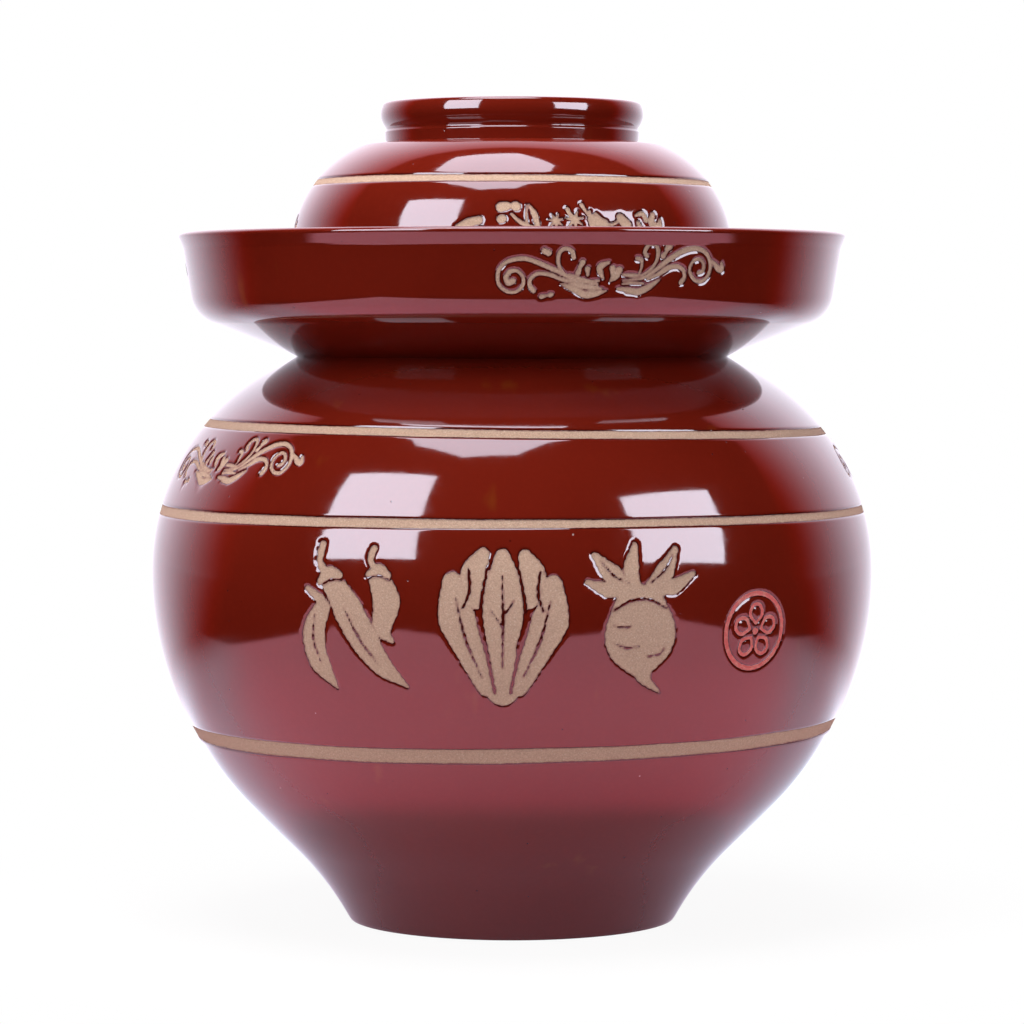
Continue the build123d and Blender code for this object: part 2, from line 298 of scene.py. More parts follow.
def stroke(points, widths):
    """Discs (across, up, radius) along a smooth line through the points, the radii spread along it."""
    points = np.array(points, float)
    padded = np.vstack([2 * points[0] - points[1], points, 2 * points[-1] - points[-2]])
    line = []
    for a, b, c, d in zip(padded, padded[1:], padded[2:], padded[3:]):
        count = max(2, int(np.hypot(*(c - b)) / STROKE_STEP))
        t = np.linspace(0, 1, count, endpoint=False)[:, None]
        line.append(0.5 * (
            2 * b + (c - a) * t + (2 * a - 5 * b + 4 * c - d) * t**2 + (3 * b - a - 3 * c + d) * t**3
        ))
    line = np.vstack(line + [points[-1:]])
    run = run_along(line)
    width = np.interp(run / run[-1], np.linspace(0, 1, len(widths)), widths)
    return np.column_stack([line, width])


def ring_stroke(centre, radius, width):
    """Discs round a circle."""
    angle = np.linspace(0, 2 * math.pi, int(2 * math.pi * radius / STROKE_STEP), endpoint=False)
    return np.column_stack([
        centre[0] + radius * np.cos(angle), centre[1] + radius * np.sin(angle), np.full_like(angle, width),
    ])


DISCS_AT_ONCE = 48


def distance(discs, across, up):
    """Distance from each point to the nearest disc's edge, negative inside."""
    best = np.full(across.shape, CLAY_REACH)
    for first in range(0, len(discs), DISCS_AT_ONCE):
        x, y, r = discs[first : first + DISCS_AT_ONCE].T
        gap = np.hypot(across[:, None] - x, up[:, None] - y) - r
        best = np.minimum(best, gap.min(axis=1))
    return best


# The traditional leaf scroll, in millimetres from the middle of the ornament
SCROLL = [
    # Left half: stem and spiral, lower curl, upper loop
    ([(-4.5, -2.4), (-11.5, -1), (-16.5, 1.4), (-21.5, 3.6), (-26, 5.3), (-29.5, 5.4), (-33, 4.2),
      (-35.1, 1.5), (-34.9, -2.3), (-32.5, -4.5), (-29.7, -4.6), (-27.7, -2.7), (-27.6, -0.2), (-29.3, 1.7),
      (-31.5, 1.6), (-32.7, -0.1), (-32.1, -1.9), (-30.7, -1.4)],
     (0.35, 0.6, 0.75, 0.7, 0.6, 0.55, 0.55, 0.95)),
    ([(-9.5, -1.5), (-14.5, -1.2), (-19.5, 0.6), (-23, 0.9), (-25.2, -0.5), (-25.5, -2.7), (-24.3, -4.4)],
     (0.35, 0.6, 0.65, 0.6, 0.75)),
    ([(-12, -1.5), (-15.2, 1), (-16.9, 4), (-16.7, 7.2), (-15, 8.6), (-12.9, 7.8), (-12.3, 5.8)],
     (0.3, 0.45, 0.6, 0.65, 0.7)),
    ([(-21.2, 7.9), (-20, 7.3)], (1.0, 1.0)),
    ([(-22, -6.2), (-20.6, -5.9)], (0.75, 0.5)),
    ([(-19.2, -5.6), (-18.7, -5.5)], (0.8, 0.6)),
    # Left half: the leaf's body and its small leaves
    ([(-1.7, -4.3), (-5.5, -5.3), (-8.5, -5.5), (-11.5, -4), (-14, -3), (-16, -2.3)],
     (0.25, 0.9, 1.2, 1.1, 0.9, 0.3)),
    ([(-3, -3.7), (-6.5, -3.3), (-10.5, -2.7), (-13.5, -2)], (0.3, 0.8, 0.9, 0.3)),
    ([(-4.2, -1.2), (-6.5, -1.5), (-9.8, -0.8), (-13.5, 0.8)], (0.4, 0.6, 0.6, 0.3)),
    ([(-10.8, 1.2), (-10.3, 2.8), (-9.5, 4.4)], (0.9, 0.6, 0.9)),
    ([(-7.8, 0.5), (-7.9, 2.4)], (0.5, 0.85)),
    ([(-2.8, -0.7), (-3.9, 1.4), (-3.9, 3.2), (-1.3, 4.4)], (0.3, 0.9, 1.0, 0.5)),
    # The heart in the middle
    ([(2.1, 2), (1, 0.4), (-0.7, -1.5)], (1.15, 1.2, 0.3)),
    ([(-0.1, 2.6), (0.5, 0.7)], (0.95, 1.0)),
    # Right half: stem and spiral with its tail, lower curl, loop
    ([(3.5, -1.2), (9.5, -0.5), (12.5, 1), (15.5, 3.2), (18.5, 5.5), (22, 7.5), (25.5, 8.7), (29, 8.7),
      (32, 7), (33.6, 4), (33.3, 1), (31.2, -1.2), (28.5, -1), (26.5, 0.8), (26.1, 3.1), (27.4, 5.2),
      (29.6, 5.5), (31.1, 3.8), (30.9, 1.9), (29.3, 1.3)],
     (0.35, 0.5, 0.85, 0.95, 0.7, 0.65, 0.6, 0.55, 0.6)),
    ([(33.6, 5.2), (35.3, 4.1), (36.8, 2.7), (38.2, 2.4), (37.9, 4.5)], (0.5, 0.7, 1.0, 0.9, 0.5)),
    ([(11.5, -0.8), (15, 0.8), (18.5, 2.9), (21.5, 3.2), (23.7, 2.1), (24.3, 0), (23.3, -1.6)],
     (0.35, 0.6, 0.9, 0.75, 0.6, 0.8)),
    ([(9, 0.2), (12, 2), (14.1, 4.8), (14.5, 8), (13.2, 10.1), (11.1, 9.7), (10.1, 7.6), (10.9, 6.3)],
     (0.3, 0.5, 0.6, 0.6, 0.7)),
    ([(8.7, 1), (9.3, 3), (9.1, 5.2), (7.8, 5.6)], (0.3, 0.5, 0.75)),
    ([(16.3, 6.4), (17.3, 7.8)], (0.9, 0.5)),
    ([(17.4, 8.6), (18.1, 9.4)], (0.8, 1.2)),
    # Right half: the leaf's body
    ([(3.5, 0.6), (6.5, 0.5), (9.5, 0.2)], (0.5, 0.65, 0.3)),
    ([(3.5, -2.2), (6.5, -1.9), (10.5, -2.1)], (0.4, 0.55, 0.3)),
    ([(2, -3.7), (5, -4), (8.5, -4.6), (12, -3.2), (15.5, -0.9)], (0.5, 0.9, 1.1, 0.95, 0.35)),
    ([(4.5, -4.9), (8.5, -5.2)], (0.3, 0.6)),
]

# The flower spray on the lid, in millimetres from its middle
SPRAY = [
    ([(-19.4, 2.6), (-17.6, 2.9)], (1.6, 1.3)),
    ([(-15.0, 2.9), (-14.6, 2.7)], (1.5, 1.4)),
    ([(-19.4, -1.2), (-18.9, -1.1)], (1.35, 1.3)),
    ([(-16.2, 0.3), (-13.2, -2.4), (-8.5, -4.4)], (0.45, 0.7, 0.5)),
    ([(-10.8, 3.2), (-9.4, 0.8), (-8.4, -2.6), (-8.6, -5)], (0.35, 0.95, 0.9, 0.5)),
    ([(-11.5, 3.2), (-11.6, -2), (-10.2, -5.5)], (0.35, 0.4, 0.5)),
    ([(-33, -3.6), (-29.5, -2.4), (-26.2, -1.6)], (0.6, 1.5, 1.3)),
    ([(-25.5, -3.8), (-21, -6.2), (-14, -7.4), (-6, -7.2), (3, -6.6), (12, -7.2), (22, -6.8), (30, -4.6)],
     (0.4, 0.6, 0.75, 0.7, 0.6, 0.5)),
    ([(6, 3.4), (8.0, -0.2)], (0.7, 0.3)),
    ([(1.2, 2.0), (2.2, -0.6)], (0.7, 0.4)),
    ([(8.4, 1.2), (9, -3.2), (12, -5)], (0.5, 0.9, 0.6)),
    ([(10.3, 0.6), (14.5, -2.8), (18.4, -1.6)], (0.45, 0.5, 0.5)),
    ([(9.2, -1.2), (12.6, -2.8)], (1.6, 1.9)),
    ([(18.8, -0.6), (20.6, -2.9)], (1.4, 1.8)),
    ([(24.6, 0.2), (27.2, 0.8), (28.2, -1.2)], (0.5, 0.8, 0.9)),
    ([(25, -2.2), (25.6, -4)], (0.7, 0.9)),
    ([(31.4, 0.6), (30.2, -2), (32.8, -3.4), (34, -1)], (0.9, 1.3, 1.5, 0.5)),
]


STAR_POINTS, STAR_TURN, STAR_WIDTHS = 7, 0.3, (0.75, 0.2)


def star(centre, radius):
    """The petals of a small star flower."""
    return [
        ([centre, (centre[0] + radius * math.cos(a), centre[1] + radius * math.sin(a))], STAR_WIDTHS)
        for a in (2 * math.pi * k / STAR_POINTS + STAR_TURN for k in range(STAR_POINTS))
    ]


SPRAY += star((-2.6, -1.8), 2.3) + star((3.4, -1.4), 2.9)

# Generic garden motifs in the three places of the photo's lettering: chillies, a cabbage and a radish.
# Each has strokes of bare clay and thin lines of glaze that part them.
CHILLIES = (
    [
        ([(-8, 12.5), (-4, 7), (1.5, -3), (8.5, -13.5), (17, -20.5)], (3.6, 5.2, 5.0, 3.4, 0.4)),
        ([(-9.5, 14.5), (-12.5, 19), (-12, 24.5)], (1.9, 1.0, 1.3)),
        ([(-5.5, 15), (-9, 15.5), (-12, 12.5)], (1.3, 2.2, 1.3)),
        ([(8.5, 14), (11, 7), (9.5, -1.5), (12.8, -6)], (3.4, 4.6, 3.4, 0.5)),
        ([(8, 16), (5.5, 20), (6.5, 23.5)], (1.6, 0.9, 1.2)),
        ([(5.2, 15.4), (8.5, 17), (11.6, 15)], (1.2, 1.8, 1.1)),
        ([(-11.5, 4.5), (-15, -3), (-14.5, -12), (-8.5, -21.5)], (2.8, 4.2, 3.8, 0.5)),
        ([(-12, 7), (-17, 10.5)], (1.6, 0.9)),
    ],
    [
        ([(-12.6, 11.2), (-8.6, 13.2), (-4.4, 13.4)], (0.3, 0.4, 0.3)),
        ([(4.4, 14), (8.4, 15), (12.2, 13.6)], (0.3, 0.4, 0.3)),
        ([(-3.6, 4.4), (1.2, -5), (7, -13)], (0.2, 0.45, 0.2)),
        ([(-14.6, 2), (-15.6, -6), (-13.6, -13)], (0.2, 0.4, 0.2)),
    ],
)
CABBAGE = (
    [
        ([(0, -21), (-0.5, -8), (0.5, 6), (0, 21)], (5.2, 4.6, 7.2, 2.2)),
        ([(-5, -20), (-10, -9), (-14.5, 3), (-15.5, 13)], (3.2, 4.2, 5.8, 3.0)),
        ([(5, -20), (10.5, -9), (15, 2), (15.5, 12)], (3.2, 4.2, 5.8, 3.0)),
        ([(-8, 8), (-8.5, 16), (-6, 21.5)], (3.4, 4.4, 2.0)),
        ([(8, 8), (9, 15.5), (7, 21)], (3.4, 4.4, 2.0)),
    ],
    [
        ([(-2.5, -22), (-4.8, -9), (-6.6, 4), (-4.6, 18)], (0.5, 0.6, 0.6, 0.4)),
        ([(2.5, -22), (5, -9), (7, 4), (4.8, 18)], (0.5, 0.6, 0.6, 0.4)),
        ([(0, -14), (0.2, 2), (0, 15)], (0.2, 0.5, 0.2)),
        ([(-6.5, -17), (-11.4, -5), (-14.4, 8)], (0.2, 0.5, 0.2)),
        ([(6.5, -17), (11.8, -5), (14.8, 7)], (0.2, 0.5, 0.2)),
        ([(-12.2, 5), (-10.2, 10), (-10.4, 17)], (0.4, 0.5, 0.4)),
        ([(12.6, 4), (11, 9), (11.6, 16)], (0.4, 0.5, 0.4)),
        ([(0.2, 2), (3.4, 7)], (0.25, 0.3)),
        ([(0.2, -1), (-3.6, 4)], (0.25, 0.3)),
    ],
)
RADISH = (
    [
        ([(0, 2), (0.5, -5), (1, -11)], (9.5, 12.0, 7.0)),
        ([(1, -13), (3, -19), (8.5, -23.5)], (4.6, 1.7, 0.4)),
        ([(-1, 10), (-3, 16), (-1.5, 24)], (1.6, 2.6, 0.9)),
        ([(-2, 10), (-8.5, 14), (-15, 21)], (1.3, 3.2, 1.0)),
        ([(-3, 9.5), (-10.5, 10), (-17.5, 12.5)], (1.0, 2.5, 0.8)),
        ([(2, 10), (8, 15), (12.5, 22.5)], (1.3, 3.2, 1.0)),
        ([(3, 9.5), (11, 10.5), (18.5, 14.5)], (1.0, 2.6, 0.8)),
    ],
    [
        ([(-9, 3.4), (-3, 6.4), (3, 6.6), (9, 3.8)], (0.3, 0.5, 0.5, 0.3)),
        ([(-8.5, -7), (-4.2, -8.6), (0, -8.2)], (0.2, 0.45, 0.2)),
        ([(3.2, -11.6), (7, -11), (9, -9)], (0.2, 0.4, 0.2)),
        ([(-8.6, -1.4), (-5.4, -2), (-3, -1.6)], (0.2, 0.4, 0.2)),
        ([(-3.8, 12), (-8.6, 14.4), (-13, 19)], (0.2, 0.4, 0.2)),
        ([(3.8, 12), (8.2, 15.6), (11.4, 20.6)], (0.2, 0.4, 0.2)),
    ],
)


# The blossom: its ring, its petals' foot, widest part and tip as (outwards, sideways), and its eye
SEAL_RADIUS, SEAL_LINE, EYE_RADIUS, EYE_LINE = 12.0, 0.75, 0.7, 0.5
PETALS, PETAL_FOOT, PETAL_SIDE, PETAL_TIP = 5, 2.4, (5.2, 2.5), (8.2, 1.4)
PETAL_WIDTHS = (0.45, 0.6, 0.6, 0.6, 0.45)


def blossom():
    """A plain five-petalled blossom in a ring, painted red in place of the photo's seal."""
    discs = [ring_stroke((0, 0), SEAL_RADIUS, SEAL_LINE)]
    for k in range(PETALS):
        a = 2 * math.pi * k / PETALS + math.pi / 2
        out, side = np.array([math.cos(a), math.sin(a)]), np.array([-math.sin(a), math.cos(a)])
        widest, tip = PETAL_SIDE[0] * out, PETAL_TIP[0] * out
        wide, narrow = PETAL_SIDE[1] * side, PETAL_TIP[1] * side
        foot = PETAL_FOOT * out
        petal = [foot, widest + wide, tip + narrow, tip - narrow, widest - wide, foot]
        discs.append(stroke(petal, PETAL_WIDTHS))
    discs.append(ring_stroke((0, 0), EYE_RADIUS, EYE_LINE))
    return np.vstack(discs)


def discs_of(strokes):
    """The discs of several strokes."""
    return np.vstack([stroke(points, widths) for points, widths in strokes])


scroll, spray, seal = discs_of(SCROLL), discs_of(SPRAY), blossom()
garden = [tuple(discs_of(s) for s in motif) for motif in (CHILLIES, CABBAGE, RADISH)]

# Where the ornament sits: the angle of its middle, from the front towards the right, and its size. Then its
# height, the circle that it is laid on, how far from its middle a point can be near it, and the half width
# that gets fine rows and rings.
MOAT_SCROLLS = [(math.radians(a), 1.0) for a in (16.7, 136.7, -103.3)]
MOAT_SCROLL_HEIGHT, MOAT_SCROLL_SPAN, MOAT_SCROLL_FINE = 214.0, 42.0, 41.0
SHOULDER_SCROLLS = [(math.radians(a), 1.04) for a in (-57.6, 96.5, -160.0)]
SHOULDER_SCROLL_HEIGHT, SHOULDER_SCROLL_CIRCLE = 154.0, 111.5
SHOULDER_SCROLL_SPAN, SHOULDER_SCROLL_FINE = 44.0, 42.0
LID_SPRAYS = [(math.radians(a), 1.0) for a in (13.2, 133.2, -106.8)]
LID_SPRAY_HEIGHT, LID_SPRAY_CIRCLE, LID_SPRAY_SPAN, LID_SPRAY_FINE = 233.9, 69.7, 38.0, 36.0
SEAL_ANGLE, SEAL_HEIGHT, SEAL_SPAN = math.radians(39.6), 103.5, 16.0

# The garden motifs: angle, height and size of each, and how their edges are worn
GARDEN_PLACES = [
    (math.radians(-23.9), 107.5, 0.98),
    (math.radians(-1.4), 107.8, 1.0),
    (math.radians(19.2), 108.3, 0.98),
]
GARDEN_SPAN = 30.0
WEAR, WEAR_UP, WEAR_ACROSS, WEAR_SHIFT, WEAR_REACH = 0.16, 2.1, 1.7, 9, 2

# Bands of bare clay: height, width, how much it climbs from left to right, how uneven it is and the seed
# of its unevenness
HAUNCH_BAND = (65.7, 5.2, 0.0147, 0.25, 1)
BELLY_BAND = (138.2, 2.9, 0.0009, 0.22, 2)
SHOULDER_BAND = (165.6, 3.1, -0.0137, 0.12, 3)
CROWN_BAND = (MOAT_FLOOR + CROWN_BAND_RISE, 2.4, -0.0064, 0.14, 4)
BAND_TAPER_SHARE, BAND_WANDER_SHARE, BAND_WIDTH_SHARE, WIDTH_SEED = 0.1, 0.6, 0.45, 50
BAND_MARGIN, BAND_SPACING = 1.8, 0.36
RIPPLES = (1, 3, 7, 16)

# Stretches of the wall that are bare all over, and how level a wall can count as for a band on it
BARE, LEAST_RISE = ("base", "rim", "skirt"), 0.3


def ripple(angle, seed, amount):
    """A smooth, uneven line round the jar."""
    phases = np.random.default_rng(seed).uniform(0, 2 * math.pi, len(RIPPLES))
    return amount * sum(np.sin(n * angle + p) / k for k, (n, p) in enumerate(zip(RIPPLES, phases), 1))


def band_distance(band, angle, reach, wall_height, wall_slope):
    """Distance from the edge of a band, along the wall, negative inside."""
    height, width, climb, uneven, seed = band
    middle = height + climb * reach * np.sin(angle) + ripple(angle, seed, uneven * BAND_WANDER_SHARE)
    half = width / 2 * (1 - BAND_TAPER_SHARE * np.sin(angle))
    half = half + ripple(angle, seed + WIDTH_SEED, uneven * BAND_WIDTH_SHARE)
    return np.abs(wall_height - middle) / wall_slope - half


def wall_run(height):
    """Distance along the belly's wall from its widest circle up to a height."""
    above = height >= BELLY_HEIGHT
    radius = np.where(above, SHOULDER_RADIUS, LOWER_RADIUS)
    return radius * np.arcsin(np.clip((height - BELLY_HEIGHT) / radius, -1, 1))


def turned(angle, middle):
    """Angle from the middle, brought between minus and plus half a turn."""
    return (angle - middle + math.pi) % (2 * math.pi) - math.pi


def lay(discs, place, circle, span, angle, up):
    """Distance to ornament laid round a circle at a place, for points at an angle and a height above it."""
    middle, scale = place
    across = turned(angle, middle) * circle
    near = (np.abs(across) < span) & (np.abs(up) < span)
    found = np.full(angle.shape, CLAY_REACH)
    found[near] = distance(discs, across[near] / scale, up[near] / scale) * scale
    return found


def pot_ornament(angle, reach, height, slope):
    """Distances to bare clay and to red paint on the pot's outside."""
    run = wall_run(height)
    clay = np.full(angle.shape, CLAY_REACH)
    for k, (motif, (middle, place, scale)) in enumerate(zip(garden, GARDEN_PLACES)):
        up = run - wall_run(np.array(place))
        found, gaps = (lay(d, (middle, scale), BELLY_RADIUS, GARDEN_SPAN, angle, up) for d in motif)
        worn = WEAR * np.sin(WEAR_UP * height + WEAR_SHIFT * k)
        worn = worn * np.sin(WEAR_ACROSS * BELLY_RADIUS * angle + k)
        clay = np.minimum(clay, np.maximum(found, -gaps) + worn * (found < WEAR_REACH))
    up = run - wall_run(np.array(SEAL_HEIGHT))
    paint = lay(seal, (SEAL_ANGLE, 1.0), BELLY_RADIUS, SEAL_SPAN, angle, up)
    clay = np.minimum(clay, paint)
    for band in (HAUNCH_BAND, BELLY_BAND, SHOULDER_BAND):
        clay = np.minimum(clay, band_distance(band, angle, reach, height, slope))
    up = run - wall_run(np.array(SHOULDER_SCROLL_HEIGHT))
    for place in SHOULDER_SCROLLS:
        found = lay(scroll, place, SHOULDER_SCROLL_CIRCLE, SHOULDER_SCROLL_SPAN, angle, up)
        clay = np.minimum(clay, found)
    return clay, paint


def ornament(name, angle, reach, height, slope):
    """Distances to bare clay and to red paint for the points of one stretch of wall."""
    clay = np.full(angle.shape, CLAY_REACH)
    paint = np.full(angle.shape, CLAY_REACH)
    if name in ("haunch", "belly", "shoulder"):
        clay, paint = pot_ornament(angle, reach, height, slope)
    elif name == "moat":
        for place in MOAT_SCROLLS:
            found = lay(scroll, place, MOAT_RADIUS, MOAT_SCROLL_SPAN, angle, height - MOAT_SCROLL_HEIGHT)
            clay = np.minimum(clay, found)
    elif name in ("dome", "crown"):
        clay = band_distance(CROWN_BAND, angle, reach, height, slope)
        for place in LID_SPRAYS:
            found = lay(spray, place, LID_SPRAY_CIRCLE, LID_SPRAY_SPAN, angle, height - LID_SPRAY_HEIGHT)
            clay = np.minimum(clay, found)
    elif name in BARE:
        clay = np.full(angle.shape, -1.0)
    return clay, paint


# Turning: rings of vertices up a path, closer together where there is ornament. The last row of a path
# joins the one before it where it lies closer than this share of the spacing.
LAST_ROW_SHARE = 0.4


def rows(path, spacing, fine=()):
    """Points along a path at the spacing, with finer stretches (low height, high height, spacing)."""
    run = run_along(path)
    marks, here = [0.0], 0.0
    while here < run[-1]:
        height = np.interp(here, run, path[:, 1])
        step = min([spacing] + [s for low, high, s in fine if low <= height <= high])
        here += step
        marks.append(here)
    if run[-1] - marks[-2] < LAST_ROW_SHARE * (marks[-1] - marks[-2]):
        marks = marks[:-1]
    marks = np.array(marks)
    marks = marks * run[-1] / marks[-1]
    return np.column_stack([np.interp(marks, run, path[:, k]) for k in (0, 1)])


def ring_angles(count, fine=()):
    """Angles round a ring, with stretches (middle, half span, spacing) that are finer."""
    angles = np.linspace(-math.pi, math.pi, count, endpoint=False)
    for middle, half, spacing in fine:
        angles = angles[np.abs(turned(angles, middle)) > half]
        extra = middle + np.linspace(-half, half, int(2 * half / spacing) + 1)
        angles = np.concatenate([angles, (extra + math.pi) % (2 * math.pi) - math.pi])
    return np.unique(np.round(angles, 7))


def zip_faces(low, low_first, high, high_first):
    """Triangles between two rings whose points don't line up."""
    faces, i, j, n, m = [], 0, 0, len(low), len(high)
    low, high = np.append(low, low[0] + 2 * math.pi), np.append(high, high[0] + 2 * math.pi)
    while i < n or j < m:
        a, b = low_first + i % n, high_first + j % m
        if j == m or (i < n and low[i + 1] <= high[j + 1]):
            faces.append((a, low_first + (i + 1) % n, b))
            i += 1
        else:
            faces.append((a, high_first + (j + 1) % m, b))
            j += 1
    return faces


def turn(name, paths, plan):
    """A mesh turned from paths. plan gives a path's name its row spacing, fine rows and ring angles."""
    rings = []
    for index, (label, path) in enumerate(paths):
        spacing, fine, angles = plan[label]
        points = rows(path, spacing, fine)
        step = np.gradient(path, axis=0)
        last = index == len(paths) - 1
        for point in points if last else points[:-1]:
            nearest = int(np.argmin(np.hypot(*(path - point).T)))
            tangent = step[min(max(nearest, 1), len(path) - 2)]
            rings.append((label, point, tangent / np.hypot(*tangent), angles))
    smooth, dented, normals, clay_all, paint_all, firsts, faces = [], [], [], [], [], [], []
    total = 0
    for label, (reach, height), (along, rise), angles in rings:
        if reach < AXIS_NEAR:
            angles = angles[:1]
        firsts.append((total, angles))
        level = np.full(len(angles), height)
        clay, paint = ornament(label, angles, np.full(len(angles), reach), level, max(rise, LEAST_RISE))
        edge = np.clip(clay / GLAZE_EDGE, 0, 1)
        sunk = GLAZE_DEPTH * (1 - np.sqrt(1 - (1 - edge) ** 2)) * (label not in BARE)
        around = np.column_stack([np.sin(angles), -np.cos(angles)])
        for store, depth in ((smooth, 0 * sunk), (dented, sunk)):
            reached = (reach - depth * rise)[:, None] * around
            store.append(np.column_stack([reached, height + depth * along]) * MM)
        normals.append(np.column_stack([rise * around, np.full(len(angles), -along)]))
        clay_all.append(clay)
        paint_all.append(paint)
        total += len(angles)
    for (low, a), (high, b) in zip(firsts, firsts[1:]):
        if len(a) == len(b) and np.array_equal(a, b):
            k = np.arange(len(a))
            beside = np.roll(k, -1)
            faces += np.column_stack([low + k, low + beside, high + beside, high + k]).tolist()
        elif len(a) == 1:
            faces += [(low, high + (k + 1) % len(b), high + k) for k in range(len(b))]
        elif len(b) == 1:
            faces += [(low + k, low + (k + 1) % len(a), high) for k in range(len(a))]
        else:
            faces += zip_faces(a, low, b, high)
    mesh = bpy.data.meshes.new(name)
    mesh.from_pydata(np.vstack(smooth).tolist(), [], faces)
    mesh.polygons.foreach_set("use_smooth", np.ones(len(mesh.polygons), bool))
    before = vertex_normals(mesh)
    mesh.vertices.foreach_set("co", np.vstack(dented).ravel())
    mesh.update()
    exact = np.vstack(normals) + vertex_normals(mesh) - before
    exact /= np.linalg.norm(exact, axis=1)[:, None]
    mesh.normals_split_custom_set_from_vertices(exact.tolist())
    for attribute, values in (("clay", clay_all), ("paint", paint_all)):
        layer = mesh.attributes.new(attribute, "FLOAT", "POINT")
        layer.data.foreach_set("value", np.concatenate(values).astype(np.float32))
    piece = bpy.data.objects.new(name, mesh)
    bpy.context.collection.objects.link(piece)
    return piece


def vertex_normals(mesh):
    """The mesh's own normal at each vertex."""
    mesh.update()
    found = np.empty(3 * len(mesh.vertices))
    mesh.vertices.foreach_get("normal", found)
    return found.reshape(-1, 3)


def fine_spans(places, span, circle, spacing):
    """Fine stretches of a ring under pieces of ornament that are this wide on this circle."""
    return [(middle, span / circle, spacing / circle) for middle, _ in places]


def band_rows(band):
    """A fine stretch of rows over a band and the slant that it has."""
    height, width, climb, _, _ = band
    reach = width / 2 + abs(climb) * BELLY_RADIUS + BAND_MARGIN
    return (height - reach, height + reach, BAND_SPACING)


# Points on the rings of the jar, the bowl, the inner lid and the jar's inside
JAR_RING, BOWL_RING, DISC_RING, INSIDE_RING = 168, 144, 128, 96

# Fine rows under ornament: lowest and highest height, and spacing
GARDEN_ROWS, SHOULDER_ROWS = (81.0, 135.5, 0.62), (147.0, 164.6, 0.5)
MOAT_ROWS, SPRAY_ROWS, DOME_SPACING = (207.0, 225.0, 0.45), (225.0, 241.0, 0.4), 0.45
GARDEN_MIDDLE, GARDEN_HALF = math.radians(7), math.radians(43)

# Paths that are split at a height, for the names of the parts below and above it
SPLITS = {"haunch": (78.0, "haunch", "belly"), "shoulder": (141.5, "belly", "shoulder")}


def split_paths(found):
    """The paths, with those that cross from plain wall to ornament split there."""
    paths = []
    for label, path in found:
        if label in SPLITS:
            height, below, above = SPLITS[label]
            split = int(np.searchsorted(path[:, 1], height))
            paths += [(below, path[: split + 1]), (above, path[split:])]
        else:
            paths.append((label, path))
    return paths


def build_jar():
    """The jar in three pieces: the pot's outside, the moat and neck, and the inside."""
    paths = split_paths(jar_paths())
    labels = [label for label, _ in paths]
    crease, inside = labels.index("underside"), labels.index("inside")
    garden_ring = ring_angles(JAR_RING, [(GARDEN_MIDDLE, GARDEN_HALF, GARDEN_ROWS[2] / BELLY_RADIUS)])
    scrolls = fine_spans(SHOULDER_SCROLLS, SHOULDER_SCROLL_FINE, SHOULDER_SCROLL_CIRCLE, SHOULDER_ROWS[2])
    shoulder_ring = ring_angles(JAR_RING, scrolls)
    moat_ring = ring_angles(JAR_RING, fine_spans(MOAT_SCROLLS, MOAT_SCROLL_FINE, MOAT_RADIUS, MOAT_ROWS[2]))
    plain = ring_angles(JAR_RING)
    plan = {
        "base": (1.5, (), plain),
        "foot": (1.6, (), plain),
        "haunch": (1.6, (band_rows(HAUNCH_BAND),), plain),
        "belly": (1.2, (GARDEN_ROWS, band_rows(BELLY_BAND)), garden_ring),
        "shoulder": (1.6, (SHOULDER_ROWS, band_rows(SHOULDER_BAND)), shoulder_ring),
        "underside": (1.6, (), plain),
        "moat": (0.6, (MOAT_ROWS,), moat_ring),
        "lip": (0.35, (), plain),
        "basin": (1.8, (), plain),
        "neck": (1.0, (), plain),
        "bore": (3.0, (), plain),
        "inside": (4.0, (), ring_angles(INSIDE_RING)),
    }
    return [
        turn("jar_pot", paths[:crease], plan),
        turn("jar_moat_and_neck", paths[crease:inside], plan),
        turn("jar_inside", paths[inside:], plan),
    ]


def build_lid():
    """The bowl in two pieces: its outside and its inside."""
    sprays = fine_spans(LID_SPRAYS, LID_SPRAY_FINE, LID_SPRAY_CIRCLE, DOME_SPACING)
    dome_ring = ring_angles(BOWL_RING, sprays)
    plain = ring_angles(BOWL_RING)
    plan = {
        "rim": (1.0, (), plain),
        "dome": (1.5, (SPRAY_ROWS,), dome_ring),
        "crown": (1.3, (SPRAY_ROWS, band_rows(CROWN_BAND)), dome_ring),
        "grip": (0.35, (), plain),
        "under": (2.5, (), plain),
    }
    outside, under = lid_paths()
    return [turn("bowl_outside", outside, plan), turn("bowl_inside", under, plan)]


def build_inner_lid():
    """The inner lid in one piece."""
    plain = ring_angles(DISC_RING)
    plan = {"disc": (1.0, (), plain), "skirt": (0.8, (), plain), "knob": (0.6, (), plain)}
    return [turn("mouth_lid", inner_lid_paths(), plan)]


# Shader nodes

def add(tree, kind, sockets=None, **settings):
    """A shader node with its settings, and values or links on its sockets."""
    made = tree.nodes.new(kind)
    for key, value in settings.items():
        setattr(made, key, value)
    for key, value in (sockets or {}).items():
        if isinstance(value, bpy.types.NodeSocket):
            tree.links.new(value, made.inputs[key])
        else:
            made.inputs[key].default_value = value
    return made


def noise(tree, place, scale, detail=2.0, rough=0.5):
    settings = {"Vector": place, "Scale": scale, "Detail": detail, "Roughness": rough}
    return add(tree, "ShaderNodeTexNoise", settings).outputs["Fac"]


def cells(tree, place, scale):
    return add(tree, "ShaderNodeTexVoronoi", {"Vector": place, "Scale": scale, "Randomness": 1.0}).outputs


